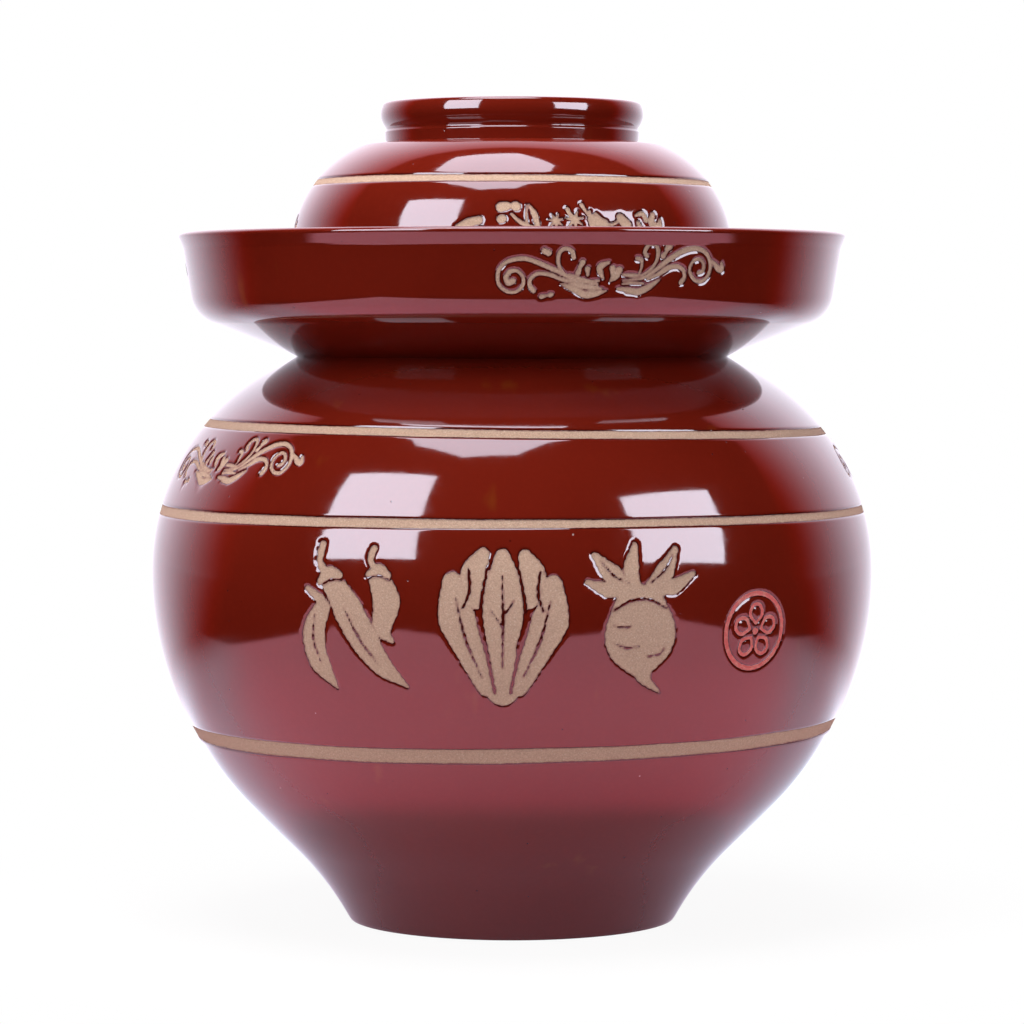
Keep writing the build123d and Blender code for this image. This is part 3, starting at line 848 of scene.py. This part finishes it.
def ramp(tree, value, start, end, low=0.0, high=1.0, kind="SMOOTHSTEP"):
    """The value carried from start..end onto low..high, and held there beyond both."""
    made = add(tree, "ShaderNodeMapRange", {
        "Value": value, "From Min": start, "From Max": end, "To Min": low, "To Max": high,
    }, interpolation_type=kind)
    return made.outputs["Result"]


def math_node(tree, operation, *values):
    return add(tree, "ShaderNodeMath", dict(enumerate(values)), operation=operation).outputs[0]


def times(tree, first, second):
    return math_node(tree, "MULTIPLY", first, second)


def rest_of(tree, share):
    """What a share leaves of one."""
    return math_node(tree, "SUBTRACT", 1.0, share)


def vector_node(tree, operation, output, *values):
    made = add(tree, "ShaderNodeVectorMath", dict(enumerate(values)), operation=operation)
    return made.outputs[output]


def mix(tree, share, first, second):
    """A colour between two others."""
    return add(tree, "ShaderNodeMix", {0: share, 6: first, 7: second}, data_type="RGBA").outputs[2]


def blend(tree, share, first, second):
    """A shader between two others."""
    return add(tree, "ShaderNodeMixShader", {0: share, 1: first, 2: second}).outputs[0]


def light(tree, kind, colour, strength=1.0):
    """A shader that glows, for a surface or for the world behind everything."""
    return add(tree, kind, {"Color": colour, "Strength": strength}).outputs[0]


def ray(tree, kind):
    """One where the light arrives by this kind of ray, and otherwise zero."""
    return add(tree, "ShaderNodeLightPath").outputs[kind]


def new_material(name):
    made = bpy.data.materials.new(name)
    made.use_nodes = True
    made.node_tree.nodes.clear()
    return made, made.node_tree


# Material: one for everything thrown and fired, told apart by the two distances on the mesh
GLAZE_IOR = 1.7
GLAZE_RED, GLAZE_DARK = (0.15, 0.0108, 0.0048, 1), (0.13, 0.0088, 0.0038, 1)
# GLAZE_DEEP darkens pinholes and the line beside bare clay, which is partly thick glaze and partly painted
# shade.
GLAZE_DEEP, GLAZE_BRIGHT = (0.03, 0.0018, 0.0016, 1), (0.21, 0.0155, 0.007, 1)
GLAZE_GOLD, GLAZE_SPECK = (0.19, 0.04, 0.006, 1), (0.62, 0.5, 0.46, 1)
CLAY_PALE, CLAY_DARK = (0.58, 0.385, 0.27, 1), (0.43, 0.275, 0.187, 1)
CLAY_SPECK, CLAY_STAINED = (0.74, 0.62, 0.5, 1), (0.22, 0.08, 0.06, 1)
PAINT_RED, PAINT_THIN = (0.56, 0.075, 0.06, 1), (0.6, 0.2, 0.15, 1)

# Patterns: a noise's scale, detail and roughness, and the ramp from its values to the share that it gives
RAGGED = (900, 3, 0.6), (0.2, 0.8, -0.1, 0.1, "LINEAR")
POOLS = (16, 3), (0.35, 0.7)
MOTTLE = (620, 4, 0.65), (0.42, 0.72, 0, 0.16)
RUNS = (75, 3), (0.66, 0.78, 0, 0.45)
GRAIN = (1900, 5, 0.7), (0.35, 0.7)
STAIN = (300,), (0.3, 0.7, 0.3, 1)
THINNED = (700, 3), (0.4, 0.75)
GLOSS = (420, 3), (0.3, 0.7, 0.045, 0.085, "LINEAR")
RUN_STRETCH = (1.0, 1.0, 0.35)

# Spots: the scale of the cells, the colour channel that picks some of them and its least value, the
# distances between which a spot ends, and its level
PINHOLES = (190.0, 0, 0.8, (0.03, 0.09), 1)
FLECKS = (95.0, 1, 0.86, (0.015, 0.04), 0.7)
PINHOLE_SHARE, PICK_EDGE = 0.7, 0.01

# Ramps over the distance from bare clay or from paint, in millimetres, and the ramp that makes grit
BARE_EDGE, PAINT_EDGE = (-0.06, 0.06, 1, 0), (-0.08, 0.05, 1, 0)
# The first ramp darkens the glaze beside bare clay: partly the thicker glaze there, partly painted shade
# along its rounded edge.
ROLL_AND_PAINTED_SHADE, SEEPED = (0.1, 0.75, 0.8, 0), (-0.55, 0.02, 0, 0.9)
GRIT_SCALE, GRIT = 950.0, (0.12, 0.26, 0.3, 0)

# Roughness, and heights in metres
CLAY_ROUGHNESS, PAINT_SMOOTHER = 0.92, 0.3
WAVES, WAVE_HEIGHT, SWELLS, SWELL_HEIGHT = (190, 1.5), 6e-6, (45, 1), 22e-6
TOOTH, TOOTH_HEIGHT, PINHOLE_DEPTH = (1500, 5, 0.7), 260e-6, 40e-6


def pattern(tree, place, kind):
    """A noise, ramped to a share."""
    return ramp(tree, noise(tree, place, *kind[0]), *kind[1])


def spots(tree, place, scale, channel, least, ends, level):
    """Round spots in some of the cells of a pattern."""
    found = cells(tree, place, scale)
    picked = add(tree, "ShaderNodeSeparateColor", {0: found["Color"]}).outputs[channel]
    spot = ramp(tree, found["Distance"], *ends, level, 0)
    return times(tree, spot, ramp(tree, picked, least, least + PICK_EDGE))


def glaze_colour(tree, place, gap, pinholes):
    """Red with darker pools, mottling, golden runs, a dark line beside bare clay that is partly thick glaze
    and partly painted shade, pinholes and flecks.
    """
    red = mix(tree, pattern(tree, place, POOLS), GLAZE_RED, GLAZE_DARK)
    red = mix(tree, pattern(tree, place, MOTTLE), red, GLAZE_BRIGHT)
    stretched = add(tree, "ShaderNodeMapping", {"Vector": place, "Scale": RUN_STRETCH}).outputs[0]
    red = mix(tree, pattern(tree, stretched, RUNS), red, GLAZE_GOLD)
    # Darker glaze beside bare clay: partly thick glaze, partly painted shade of the rounded edge.
    red = mix(tree, ramp(tree, gap, *ROLL_AND_PAINTED_SHADE), red, GLAZE_DEEP)
    red = mix(tree, times(tree, pinholes, PINHOLE_SHARE), red, GLAZE_DEEP)
    return mix(tree, spots(tree, place, *FLECKS), red, GLAZE_SPECK)


def clay_colour(tree, place, gap, painted):
    """Buff with grain and grit, glaze that has seeped in from the edge, and thin red paint."""
    buff = mix(tree, pattern(tree, place, GRAIN), CLAY_DARK, CLAY_PALE)
    buff = mix(tree, ramp(tree, cells(tree, place, GRIT_SCALE)["Distance"], *GRIT), buff, CLAY_SPECK)
    stain = times(tree, ramp(tree, gap, *SEEPED), pattern(tree, place, STAIN))
    buff = mix(tree, stain, buff, CLAY_STAINED)
    coral = mix(tree, pattern(tree, place, THINNED), PAINT_RED, PAINT_THIN)
    return mix(tree, painted, buff, coral)


def surface_height(tree, place, bare, pinholes):
    """Waves and pinholes in the glaze, and the clay's tooth, in metres."""
    waves = times(tree, noise(tree, place, *WAVES), WAVE_HEIGHT)
    waves = math_node(tree, "ADD", waves, times(tree, noise(tree, place, *SWELLS), SWELL_HEIGHT))
    waves = math_node(tree, "SUBTRACT", waves, times(tree, pinholes, PINHOLE_DEPTH))
    tooth = times(tree, noise(tree, place, *TOOTH), TOOTH_HEIGHT)
    return math_node(tree, "ADD", times(tree, waves, rest_of(tree, bare)), times(tree, tooth, bare))


def stoneware():
    """Deep red glaze over buff clay, with the clay bare in the bands and the ornament."""
    material, tree = new_material("red_glaze_over_clay")
    place = add(tree, "ShaderNodeTexCoord").outputs["Object"]
    clay_gap = add(tree, "ShaderNodeAttribute", attribute_name="clay").outputs["Fac"]
    paint_gap = add(tree, "ShaderNodeAttribute", attribute_name="paint").outputs["Fac"]
    ragged = pattern(tree, place, RAGGED)
    gap = math_node(tree, "ADD", clay_gap, ragged)
    bare = ramp(tree, gap, *BARE_EDGE)
    painted = ramp(tree, math_node(tree, "ADD", paint_gap, ragged), *PAINT_EDGE)
    pinholes = spots(tree, place, *PINHOLES)
    red = glaze_colour(tree, place, gap, pinholes)
    colour = mix(tree, bare, red, clay_colour(tree, place, gap, painted))
    gloss = times(tree, pattern(tree, place, GLOSS), rest_of(tree, bare))
    matt = math_node(tree, "SUBTRACT", CLAY_ROUGHNESS, times(tree, painted, PAINT_SMOOTHER))
    roughness = math_node(tree, "ADD", gloss, times(tree, matt, bare))
    height = surface_height(tree, place, bare, pinholes)
    bump = add(tree, "ShaderNodeBump", {"Height": height, "Distance": 1.0, "Strength": 1.0})
    shader = add(tree, "ShaderNodeBsdfPrincipled", {
        "Base Color": colour, "Roughness": roughness, "IOR": GLAZE_IOR, "Normal": bump.outputs["Normal"],
    })
    add(tree, "ShaderNodeOutputMaterial", {"Surface": shader.outputs[0]})
    return material


# Studio: camera fitted to the photograph, two softboxes, an overhead panel and a white table
CAMERA_PLACE, CAMERA_PITCH, CAMERA_LENS, SENSOR = (0.0, -1.341, 0.202), 2.805, 140.74, 36.0
CLIP_START, CLIP_END = 0.05, 50.0
LAMP_RADIANCE, MIRRORED_RADIANCE, LAMP_BASE = 5.5, 9.5, 0.14
SOFTBOX_TINT, SOFTBOX_REACH, SOFTBOX_LEAN = (0.95, 0.95, 1.1, 1), 1.0, 0.145
OVERHEAD_PLACE, OVERHEAD_WIDTH, OVERHEAD_DEPTH = (-0.105, -0.2, 1.06), 0.62, 0.68
OVERHEAD_LEVEL, OVERHEAD_MIRRORED = 1.35, 0.7
SQUARE = [(-1, -1), (1, -1), (1, 1), (-1, 1)]
OCTAGON = [
    (math.cos(a) / math.cos(math.pi / 8), math.sin(a) / math.cos(math.pi / 8))
    for a in (math.pi / 8 + math.pi / 4 * k for k in range(8))
]

# The white sweep behind the jar: for each colour, how far to the back a direction has to point for it to
# start and to be full, and its level there. It gets brighter with height and ends above at a straight edge.
# Rays that mirror nothing see only a share of it.
SWEEP_RED, SWEEP_GREEN, SWEEP_BLUE = (0.1, 0.8, 0, 1.5), (0.2, 0.92, 0, 1.42), (0.2, 0.9, 0, 1.62)
SWEEP_CLIMB_LEFT, SWEEP_CLIMB_RIGHT, SWEEP_SIDE = 1.1, 1.2, 0.3
SWEEP_EDGE, SWEEP_EDGE_SOFT, SWEEP_UNMIRRORED = 0.436, 0.03, 0.5


def sweep_glow(tree, out, kind, share=1.0):
    """A shader that glows as the sweep does in the direction out, or a share of it."""
    parts = add(tree, "ShaderNodeSeparateXYZ", {0: out}).outputs
    across, back, up = parts["X"], parts["Y"], parts["Z"]
    red = ramp(tree, back, *SWEEP_RED, "LINEAR")
    green, blue = ramp(tree, back, *SWEEP_GREEN), ramp(tree, back, *SWEEP_BLUE)
    colour = add(tree, "ShaderNodeCombineColor", {0: red, 1: green, 2: blue}).outputs[0]
    climb = ramp(tree, across, 0, SWEEP_SIDE, SWEEP_CLIMB_LEFT, SWEEP_CLIMB_RIGHT)
    level = math_node(tree, "MULTIPLY_ADD", climb, math_node(tree, "MAXIMUM", up, 0.0), 1.0)
    above = math_node(tree, "SUBTRACT", back, times(tree, up, SWEEP_EDGE))
    level = times(tree, level, ramp(tree, above, -SWEEP_EDGE_SOFT, SWEEP_EDGE_SOFT))
    level = times(tree, level, ramp(tree, ray(tree, "Is Glossy Ray"), 0, 1, SWEEP_UNMIRRORED, 1))
    return light(tree, kind, colour, times(tree, level, share))


def place_camera():
    data = bpy.data.cameras.new("camera")
    data.lens, data.sensor_width = CAMERA_LENS, SENSOR
    data.clip_start, data.clip_end = CLIP_START, CLIP_END
    camera = bpy.data.objects.new("camera", data)
    camera.location = CAMERA_PLACE
    camera.rotation_euler = (math.radians(90 - CAMERA_PITCH), 0, 0)
    bpy.context.collection.objects.link(camera)
    bpy.context.scene.camera = camera


def flat_face(name, corners, material):
    """One flat face of the stage."""
    mesh = bpy.data.meshes.new(name)
    mesh.from_pydata([tuple(c) for c in corners], [], [tuple(range(len(corners)))])
    mesh.materials.append(material)
    face = bpy.data.objects.new(name, mesh)
    bpy.context.collection.objects.link(face)
    return face


def emitter(name, centre, side, up, width, height, level=1.0, outline=SQUARE, mirrored=1.0):
    """An area lamp, and in the same place a panel that only mirrors in the glaze."""
    side, up = Vector(side).normalized(), Vector(up).normalized()
    away = side.cross(up)
    data = bpy.data.lights.new(name, "AREA")
    data.shape = "ELLIPSE" if outline == OCTAGON else "RECTANGLE"
    data.size, data.size_y = width, height
    data.energy = level * LAMP_RADIANCE * math.pi * width * height
    lamp = bpy.data.objects.new(name, data)
    bpy.context.collection.objects.link(lamp)
    rows_of_place = [[side[k], up[k], away[k], centre[k]] for k in range(3)]
    lamp.matrix_world = Matrix(rows_of_place + [[0, 0, 0, 1]])
    lamp.visible_glossy = False
    lamp.visible_camera = False

    material, tree = new_material(name + "_glow")
    glow = light(tree, "ShaderNodeEmission", SOFTBOX_TINT, MIRRORED_RADIANCE * mirrored)
    add(tree, "ShaderNodeOutputMaterial", {"Surface": glow})
    corners = [Vector(centre) + side * (a * width / 2) + up * (b * height / 2) for a, b in outline]
    face = flat_face(name + "_face", corners, material)
    face.visible_camera = face.visible_diffuse = face.visible_shadow = face.visible_transmission = False


def softbox(name, azimuth, low, high, width, yaw, roll, level):
    """A softbox on a stand, given by its bearing and the sight lines to its bottom and its top."""
    a = math.radians(azimuth)
    out, side = Vector((math.sin(a), -math.cos(a), 0)), Vector((math.cos(a), math.sin(a), 0))
    base, rise = Vector((0, 0, LAMP_BASE)), Vector((0, 0, 1))
    top_reach = SOFTBOX_REACH - SOFTBOX_LEAN
    bottom = base + out * SOFTBOX_REACH + rise * SOFTBOX_REACH * math.tan(math.radians(low))
    top = base + out * top_reach + rise * top_reach * math.tan(math.radians(high))
    up = (top - bottom).normalized()
    side = (side * math.cos(math.radians(yaw)) + out * math.sin(math.radians(yaw))).normalized()
    up = (up - side * up.dot(side)).normalized()
    cos, sin = math.cos(math.radians(roll)), math.sin(math.radians(roll))
    middle, height = (bottom + top) / 2, (top - bottom).length
    emitter(name, middle, side * cos + up * sin, up * cos - side * sin, width, height, level)


def light_studio():
    softbox("softbox_left", azimuth=-46.5, low=8.6, high=46.5, width=0.555, yaw=-12, roll=3, level=1.0)
    softbox("softbox_right", azimuth=53.0, low=6.4, high=35.6, width=0.52, yaw=0, roll=-6, level=0.88)
    emitter("overhead", OVERHEAD_PLACE, (1, 0, 0), (0, 1, 0), OVERHEAD_WIDTH, OVERHEAD_DEPTH,
            OVERHEAD_LEVEL, OCTAGON, OVERHEAD_MIRRORED)
    world = bpy.data.worlds.new("studio")
    bpy.context.scene.world = world
    world.use_nodes = True
    tree = world.node_tree
    tree.nodes.clear()
    sweep = sweep_glow(tree, add(tree, "ShaderNodeTexCoord").outputs["Generated"], "ShaderNodeBackground")
    white = light(tree, "ShaderNodeBackground", (1, 1, 1, 1))
    add(tree, "ShaderNodeOutputWorld", {"Surface": blend(tree, ray(tree, "Is Camera Ray"), sweep, white)})


# The table that mirrors in the glaze: where its edges lie, how much its sides spread towards the back, where
# it runs into the sweep, and its colours: lit, a painted red glow in front that stands in for red light
# thrown back onto it, and as clay and rough glaze see it
TABLE_LEFT, TABLE_RIGHT, TABLE_FRONT, TABLE_EDGE = 0.41, 0.45, 0.42, 0.015
TABLE_SPREAD_LEFT, TABLE_SPREAD_RIGHT, TABLE_END, TABLE_BACK = 0.5, 0.25, -0.1, 0.22
TABLE_WHITE, TABLE_PAINTED_GLOW, TABLE_BOUNCE = (0.95, 0.55, 0.68, 1), (1.0, 0.05, 0.12, 1), (0.5, 0.46, 0.5, 1)

# The painted glow is held low near the foot as a painted shadow of the jar and fades to the front, and the
# back has a painted pale glow round the jar. The sweep gets a painted shadow behind the jar.
FOOT_NEAR, FOOT_FAR, GLOW_IN_PAINTED_SHADOW, FRONT_GLOW = 0.088, 0.11, 0.05, 0.95
GLOW_NEAR, GLOW_FAR, GLOW_END = 0.2, 0.36, 0.6
TABLE_PAINTED_PALE, PALE_START, PALE_FULL, PALE_NEAR, PALE_FAR = (0.5, 0.62, 0.76, 1), -0.09, 0.06, 0.3, 0.5
SHADE_CENTRE, SHADE_NEAR, SHADE_FAR, SHADE_LEVEL = (0.02, 0.12, 0), 0.1, 0.26, 0.3

# What the camera sees: white, with a share of the jar's shadow near its foot
FLOOR_HALF, FLOOR_GREY, FLOOR_WHITE = 3.0, (0.92, 0.92, 0.92, 1), (1, 1, 1, 1)
SHADOW_NEAR, SHADOW_FAR, WHITE_SHARE = 0.075, 0.24, 0.92


def table_share(tree, across, back):
    """One on the table, and zero past its edges and where it has run into the sweep."""
    spread = math_node(tree, "MAXIMUM", back, 0.0)
    left = math_node(tree, "ADD", across, TABLE_LEFT)
    left = math_node(tree, "MULTIPLY_ADD", spread, TABLE_SPREAD_LEFT, left)
    right = math_node(tree, "SUBTRACT", TABLE_RIGHT, across)
    right = math_node(tree, "MULTIPLY_ADD", spread, TABLE_SPREAD_RIGHT, right)
    margin = math_node(tree, "MINIMUM", math_node(tree, "MINIMUM", left, right),
                       math_node(tree, "ADD", back, TABLE_FRONT))
    flat = ramp(tree, margin, -TABLE_EDGE, TABLE_EDGE)
    return times(tree, flat, ramp(tree, back, TABLE_END, TABLE_BACK, 1, 0))


def table_shader(tree, place, off):
    """The table as the jar sees it."""
    along = add(tree, "ShaderNodeSeparateXYZ", {0: place}).outputs
    back, mirrored = along["Y"], ray(tree, "Is Glossy Ray")
    pale = ramp(tree, back, PALE_START, PALE_FULL)
    # The painted red glow: low near the foot as a painted shadow of the jar, standing in for red light
    # thrown back on the table.
    level = times(tree, ramp(tree, off, FOOT_NEAR, FOOT_FAR, GLOW_IN_PAINTED_SHADOW, FRONT_GLOW),
                  ramp(tree, off, GLOW_NEAR, GLOW_FAR, 1, GLOW_END))
    glow = light(tree, "ShaderNodeEmission", TABLE_PAINTED_GLOW, times(tree, level, rest_of(tree, pale)))
    lit = add(tree, "ShaderNodeBsdfDiffuse", {"Color": TABLE_WHITE}).outputs[0]
    lit = add(tree, "ShaderNodeAddShader", {0: lit, 1: glow}).outputs[0]
    plain = add(tree, "ShaderNodeBsdfDiffuse", {"Color": TABLE_BOUNCE}).outputs[0]
    table = blend(tree, mirrored, plain, lit)
    # A painted shadow of the jar, dimming the sweep's glow on the table behind it.
    shade_off = vector_node(tree, "DISTANCE", "Value", place, SHADE_CENTRE)
    shade = ramp(tree, shade_off, SHADE_NEAR, SHADE_FAR, SHADE_LEVEL, 1)
    sweep = sweep_glow(tree, vector_node(tree, "NORMALIZE", 0, place), "ShaderNodeEmission", shade)
    table = blend(tree, table_share(tree, along["X"], back), sweep, table)
    # A painted pale glow on the table round the jar, seen only in the glaze's mirror image.
    pale = times(tree, pale, ramp(tree, off, PALE_NEAR, PALE_FAR, 1, 0))
    painted_pale_glow = light(tree, "ShaderNodeEmission", TABLE_PAINTED_PALE, times(tree, pale, mirrored))
    return add(tree, "ShaderNodeAddShader", {0: table, 1: painted_pale_glow}).outputs[0]


def lay_floor():
    """A white table in a dark room, which the camera sees as endless white with the jar's shadow on it."""
    material, tree = new_material("white_floor")
    place = add(tree, "ShaderNodeNewGeometry").outputs["Position"]
    off = vector_node(tree, "LENGTH", "Value", place)
    shadowed = add(tree, "ShaderNodeBsdfDiffuse", {"Color": FLOOR_GREY}).outputs[0]
    white = light(tree, "ShaderNodeEmission", FLOOR_WHITE)
    seen = blend(tree, ramp(tree, off, SHADOW_NEAR, SHADOW_FAR, WHITE_SHARE, 1), shadowed, white)
    both = blend(tree, ray(tree, "Is Camera Ray"), table_shader(tree, place, off), seen)
    add(tree, "ShaderNodeOutputMaterial", {"Surface": both})
    floor = flat_face("floor", [(a * FLOOR_HALF, b * FLOOR_HALF, 0) for a, b in SQUARE], material)


def dress(piece, node, material):
    """Lay a piece over the node that it stands for."""
    piece.data.materials.append(material)
    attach(piece, node)
    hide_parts(node)


fired = stoneware()
for build, node in ((build_jar, "jar"), (build_lid, "lid"), (build_inner_lid, "inner_lid")):
    for piece in build():
        dress(piece, node, fired)
place_camera()
light_studio()
lay_floor()
bpy.context.scene.view_settings.view_transform = "Standard"
